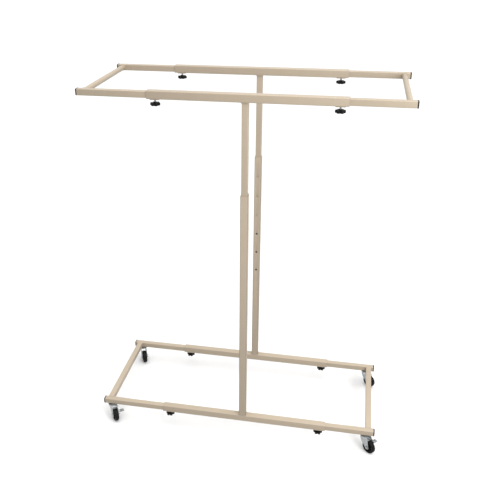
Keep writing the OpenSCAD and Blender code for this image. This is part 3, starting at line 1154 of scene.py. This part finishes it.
@dataclass
class Casters:
    """The four swivel casters, with foot brakes on the front pair."""

    finishes: Finishes
    joints: dict[str, dict]
    spokes: Tree = field(default_factory=spoke_tree)
    bars: Tree = field(default_factory=grip_tree)
    wheel_mm: float = 32.0
    width_mm: float = 20.0
    hub_mm: float = 10.0
    bore_mm: float = 4.05
    hub_width_mm: float = 23.2
    web_mm: float = 6.0
    rim_mm: float = 23.0
    segments: int = 96
    ribs: int = 8
    rib_mm: float = 2.0
    rib_recess_mm: float = 5.0
    edge_mm: float = 0.5
    fork_edge_mm: float = 0.7
    brake_edge_mm: float = 0.6
    # The middle of the brake's foot tab from the axle: towards the tab, across, and up.
    tab_mm: tuple[float, float, float] = (5.0, 32.5, 18.0)
    grips: int = 5
    grip_pitch_mm: float = 4.2
    grip_length_mm: float = 14.0
    grip_radius_mm: float = 0.7
    grip_sink_mm: float = 0.35

    def build(self) -> list[Piece]:
        """Makes the four casters and returns their pieces."""
        made = []
        for side, end in product(Side, End):
            corner = f"{side}_{end}"
            made += [*self.fittings(corner, end), *self.wheel(corner)]
            if side is Side.FRONT:
                made += self.brake(corner)
        for end in End:
            recoat(f"base_{end}_caster_nuts", self.finishes.zinc)
        return made

    def fittings(self, corner: str, end: End) -> list[Piece]:
        """Makes a caster's stem, fork and axle.

        Args:
            corner: the caster's corner of the rack.
            end: the end frame that holds it.

        Returns:
            The pieces.
        """
        frame, caster = f"base_{end}_frame", f"{corner}_caster"
        return [
            dress("pressed", f"{corner}_{part}", edge, body, finish)
            for part, body, edge, finish in (
                # The stem's dark steel finish is partly painted shade under the arm.
                ("stem", frame, self.edge_mm, self.finishes.dark_steel),
                ("fork", caster, self.fork_edge_mm, self.finishes.zinc),
                ("axle", caster, self.edge_mm, self.finishes.zinc),
            )
        ]

    def wheel_place(self, corner: str) -> Matrix:
        """A wheel's middle, with +Z along its axle."""
        joint = self.joints[f"{corner}_wheel_roll"]
        turn = UP.rotation_difference(Vector(joint["axis"])).to_matrix().to_4x4()
        return Matrix.Translation(joint["pos_m"]) @ turn

    def turned(self, outline: Sequence[Point2], radius: float, steps: int, place: Matrix) -> Mesh:
        """Turns a part of the wheel.

        Args:
            outline: its radii and heights in millimetres.
            radius: how round the outline's corners are, in millimetres.
            steps: how many pieces each corner's curve has.
            place: where the wheel is.

        Returns:
            The mesh.
        """
        shape = bmesh.new()
        soft = [(x * MM, z * MM) for x, z in rounded(outline, radius, steps)]
        lathe(shape, soft, place, self.segments)
        return soft_mesh(shape)

    def wheel(self, corner: str) -> list[Piece]:
        """Makes a wheel: the tread, the centre with its bearing boss, and the ribs between.

        Args:
            corner: the caster's corner of the rack.

        Returns:
            The pieces.
        """
        place = self.wheel_place(corner)
        body = f"{corner}_wheel"
        half, r, rim = self.width_mm / 2, self.wheel_mm, self.rim_mm
        tread = [
            (rim, -half + 1.2), (rim + 1.5, -half + 0.2), (r - 4.5, -half), (r - 1.2, -half + 2.0),
            (r - 0.1, -half + 5.0), (r, 0.0), (r - 0.1, half - 5.0), (r - 1.2, half - 2.0),
            (r - 4.5, half), (rim + 1.5, half - 0.2), (rim, half - 1.2),
        ]  # fmt: skip
        tyre = self.turned(tread, 1.0, 3, place)
        hub, deep, web = self.hub_mm, self.hub_width_mm / 2, self.web_mm / 2
        bore = self.bore_mm
        centre = [
            (bore, -deep), (hub - 2, -deep), (hub, -deep + 1.6), (hub + 0.6, -web),
            (rim - 2.2, -web), (rim - 1.6, -half + 1.6), (rim, -half + 1.4), (rim, half - 1.4),
            (rim - 1.6, half - 1.6), (rim - 2.2, web), (hub + 0.6, web), (hub, deep - 1.6),
            (hub - 2, deep), (bore, deep),
        ]  # fmt: skip
        core = self.turned(centre, 0.5, 2, place)
        inner, outer = hub - 0.5, rim - 1.8
        depth = self.width_mm - self.rib_recess_mm
        values = {
            "Count": self.ribs,
            "Middle Radius": (inner + outer) / 2 * MM,
            "Rib Size": Vector(((outer - inner) * MM, self.rib_mm * MM, depth * MM)),
            "Material": self.finishes.hub,
        }
        ribs = grow(self.spokes, values)
        ribs.transform(place)
        return [
            show(f"tread_{body}", tyre, body, self.finishes.tyre, [body]),
            show(f"centre_{body}", core, body, self.finishes.hub),
            show(f"ribs_{body}", ribs, body),
        ]

    def brake(self, corner: str) -> list[Piece]:
        """Makes a foot brake with grip bars on its tab.

        Args:
            corner: the caster's corner of the rack.

        Returns:
            The pieces.
        """
        body, zinc = f"{corner}_brake", self.finishes.zinc
        lever = dress("pressed", body, self.brake_edge_mm, body, zinc)
        across = Vector(self.joints[f"{corner}_brake_press"]["axis"])
        along = Vector((across.y, -across.x, 0))
        axle = Vector(self.joints[f"{corner}_wheel_roll"]["pos_m"])
        out, aside, rise = self.tab_mm
        top = axle + along * out * MM + across * aside * MM + Vector((0, 0, rise * MM))
        step = self.grip_pitch_mm * MM
        values = {
            "Count": self.grips,
            "Step": Vector((step, 0.0, 0.0)),
            "Bar Radius": self.grip_radius_mm * MM,
            "Bar Length": self.grip_length_mm * MM,
            "Material": zinc,
        }
        grips = grow(self.bars, values)
        grips.shade_smooth()
        first = (-step * (self.grips - 1) / 2, 0, -self.grip_sink_mm * MM)
        grips.transform(Matrix.Translation(first))
        turn = Matrix((across, -along, UP)).transposed().to_4x4()
        grips.transform(Matrix.Translation(top) @ turn)
        return [lever, show(f"grips_{body}", grips, body)]


# ---------------------------------------------------------------- studio


@dataclass
class Studio:
    """A white floor, soft lights and the camera."""

    place_mm: tuple[float, float, float] = (408.9, -2734.2, 2188.9)
    yaw_deg: float = -11.825
    pitch_deg: float = -25.99
    roll_deg: float = -0.652
    lens_mm: float = 48.92
    shift: Point2 = (0.0687, 0.0007)
    floor_m: float = 60.0
    ambient: float = 0.48
    ceiling_strength: float = 2.15
    ceiling_spread_deg: float = 75.0
    ceiling_tilt_deg: float = 8.0

    def build(self) -> None:
        """Sets the studio up."""
        bpy.context.scene.view_settings.view_transform = "Standard"
        self.floor()
        self.lights()
        self.camera()

    def floor(self) -> None:
        """Lays a matt white floor."""
        half = self.floor_m / 2
        mesh = bpy.data.meshes.new("studio_floor")
        corners = [(-half, -half, 0), (half, -half, 0), (half, half, 0), (-half, half, 0)]
        mesh.from_pydata(corners, [], [(0, 1, 2, 3)])
        # Painted plaster: dead matt and near white.
        paint = Surface("matt_white_paint")
        paint.shader.inputs["Base Color"].default_value = linear("#fafafa")
        paint.shader.inputs["Roughness"].default_value = 0.95
        paint.shader.inputs["Specular IOR Level"].default_value = 0.1
        mesh.materials.append(paint.material)
        floor = put("studio_floor", mesh)
        # The floor's glow on the rack is left to the sky, which keeps the fronts from washing out.
        floor.visible_diffuse = False

    def softbox(
        self, name: str, place: Sequence[float], target: Sequence[float], size: float, power: float
    ) -> None:
        """Hangs one square softbox.

        Args:
            name: the light's name.
            place: where it hangs, in metres.
            target: what it points at, in metres.
            size: its width in metres.
            power: its power in watts.
        """
        lamp = bpy.data.lights.new(name, "AREA")
        lamp.shape, lamp.size, lamp.energy = "SQUARE", size, power
        holder = put(name, lamp)
        holder.location = place
        aim = Vector(target) - Vector(place)
        holder.rotation_euler = aim.to_track_quat("-Z", "Y").to_euler()

    def lights(self) -> None:
        """Lights the rack from above and from the right, with an even sky.

        The sky is white to the eye and in reflections, and dimmer where it lights the rack.
        """
        world = bpy.data.worlds.new("studio_sky")
        world.use_nodes = True
        sky = world.node_tree.nodes["Background"]
        sky.inputs["Color"].default_value = linear("#ffffff")
        rays = add_node(world.node_tree, "ShaderNodeLightPath")
        lit = rays.outputs["Is Diffuse Ray"]
        inputs = {"Value": lit, "To Min": 1.0, "To Max": self.ambient}
        dimmed = add_node(world.node_tree, "ShaderNodeMapRange", inputs=inputs)
        world.node_tree.links.new(dimmed.outputs["Result"], sky.inputs["Strength"])
        bpy.context.scene.world = world
        ceiling = bpy.data.lights.new("ceiling_diffuser", "SUN")
        ceiling.energy = self.ceiling_strength
        ceiling.angle = math.radians(self.ceiling_spread_deg)
        tilt = math.radians(self.ceiling_tilt_deg)
        put("ceiling_diffuser", ceiling).rotation_euler = (tilt, tilt, 0)
        self.softbox("overhead", (0.2, -0.4, 3.1), (0.1, 0.0, 1.5), size=1.6, power=6.0)
        self.softbox("right_front", (1.9, -2.1, 2.1), (0.3, 0.0, 1.5), size=1.2, power=40.0)

    def camera(self) -> None:
        """Places the camera."""
        yaw, pitch, roll = (
            math.radians(a) for a in (self.yaw_deg, self.pitch_deg, self.roll_deg)
        )
        ahead = Vector(
            (math.sin(yaw) * math.cos(pitch), math.cos(yaw) * math.cos(pitch), math.sin(pitch))
        )
        level = Vector((math.cos(yaw), -math.sin(yaw), 0))
        upright = level.cross(ahead)
        right = level * math.cos(roll) + upright * math.sin(roll)
        up = upright * math.cos(roll) - level * math.sin(roll)
        data = bpy.data.cameras.new("camera")
        data.sensor_width = 36.0
        data.lens = self.lens_mm
        data.shift_x, data.shift_y = self.shift
        data.clip_end = 100.0
        camera = put("camera", data)
        turn = Matrix((right, up, -ahead)).transposed().to_4x4()
        camera.matrix_world = Matrix.Translation(Vector(self.place_mm) * MM) @ turn
        bpy.context.scene.camera = camera


# ---------------------------------------------------------------- main


def main() -> None:
    """Builds the rack and its studio."""
    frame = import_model()
    joints = {j["name"]: j for j in frame["joints"]}
    finishes = Finishes()
    assemblies = [
        TubeFrame(finishes),
        ClampKnobs(finishes),
        EndCaps(finishes),
        HeightLock(finishes),
        Casters(finishes, joints),
    ]
    for assembly in assemblies:
        for piece in assembly.build():
            LOG.info("%s: %d faces", piece.name, len(piece.data.polygons))
    Studio().build()


if __name__ == "__main__":
    logging.basicConfig(level=logging.INFO, format="%(message)s")
    main()
